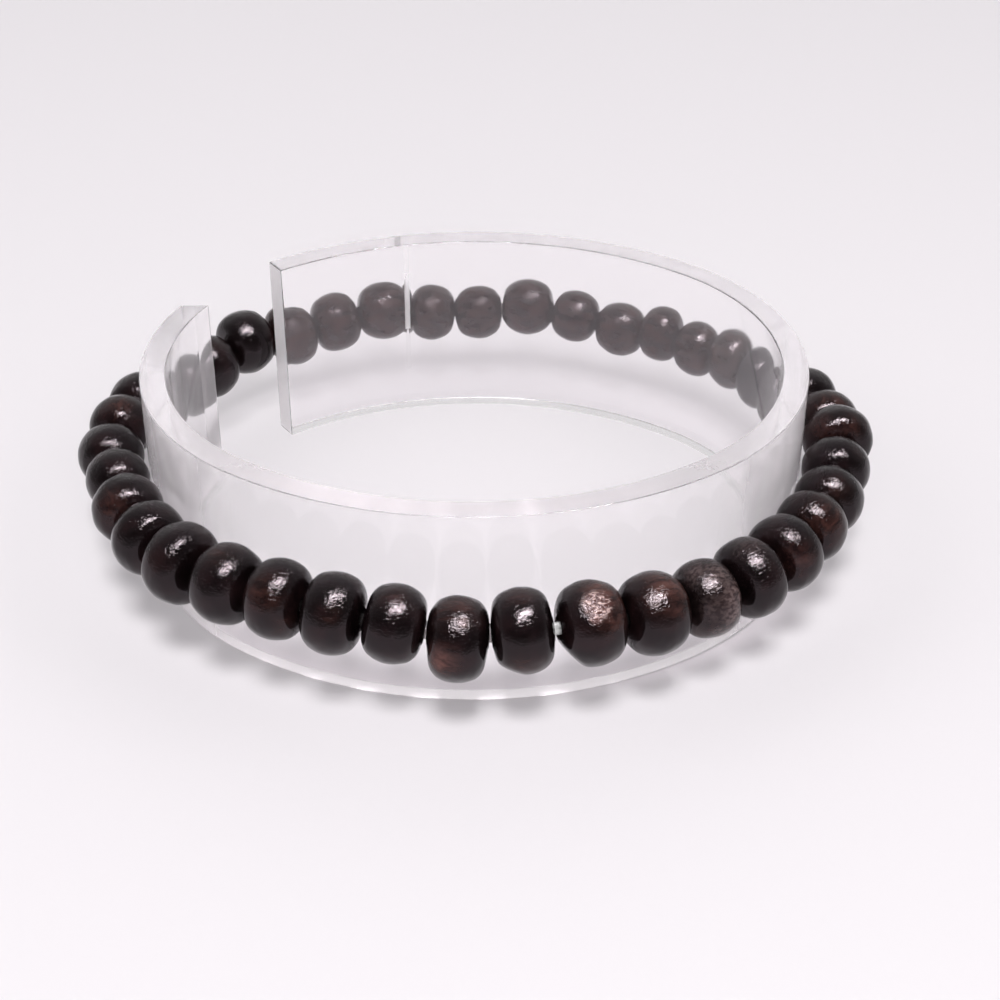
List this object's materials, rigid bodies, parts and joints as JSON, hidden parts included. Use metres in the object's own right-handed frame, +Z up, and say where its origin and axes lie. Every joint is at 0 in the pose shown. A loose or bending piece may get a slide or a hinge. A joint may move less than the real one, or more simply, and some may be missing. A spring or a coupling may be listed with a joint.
{
  "type": "beaded bracelet on a display ring",
  "caption": "Stretch bracelet of small dark turned wooden beads on clear elastic cord, worn round an open oval clear acrylic display ring.",
  "frame": {"origin": "on the surface that the display ring stands on, under the middle of the whole thing", "axes": "+Z up, +X along the oval's length, -Y towards the closed front; the ring's opening is at -X, +Y"},
  "size_m": [0.0732, 0.0631, 0.019],
  "materials": {
    "bead_wood": "dark stained hardwood, lacquered, glossy",
    "elastic_cord": "clear elastic cord, glossy",
    "clear_acrylic": "clear acrylic, polished"
  },
  "bodies": {
    "root": {"bead_01": "bead_wood", "bead_02": "bead_wood", "bead_03": "bead_wood", "bead_04": "bead_wood", "bead_05": "bead_wood", "bead_06": "bead_wood", "bead_07": "bead_wood", "bead_08": "bead_wood", "bead_09": "bead_wood", "bead_10": "bead_wood", "bead_11": "bead_wood", "bead_12": "bead_wood", "bead_13": "bead_wood", "bead_14": "bead_wood", "bead_15": "bead_wood", "bead_16": "bead_wood", "bead_17": "bead_wood", "bead_18": "bead_wood", "bead_19": "bead_wood", "bead_20": "bead_wood", "bead_21": "bead_wood", "bead_22": "bead_wood", "bead_23": "bead_wood", "bead_24": "bead_wood", "bead_25": "bead_wood", "bead_26": "bead_wood", "bead_27": "bead_wood", "bead_28": "bead_wood", "bead_29": "bead_wood", "bead_30": "bead_wood", "bead_31": "bead_wood", "bead_32": "bead_wood", "bead_33": "bead_wood", "bead_34": "bead_wood", "bead_35": "bead_wood", "bead_36": "bead_wood", "bead_37": "bead_wood", "bead_38": "bead_wood", "bead_39": "bead_wood", "elastic_cord": "elastic_cord", "display_ring": "clear_acrylic"}
  },
  "joints": []
}
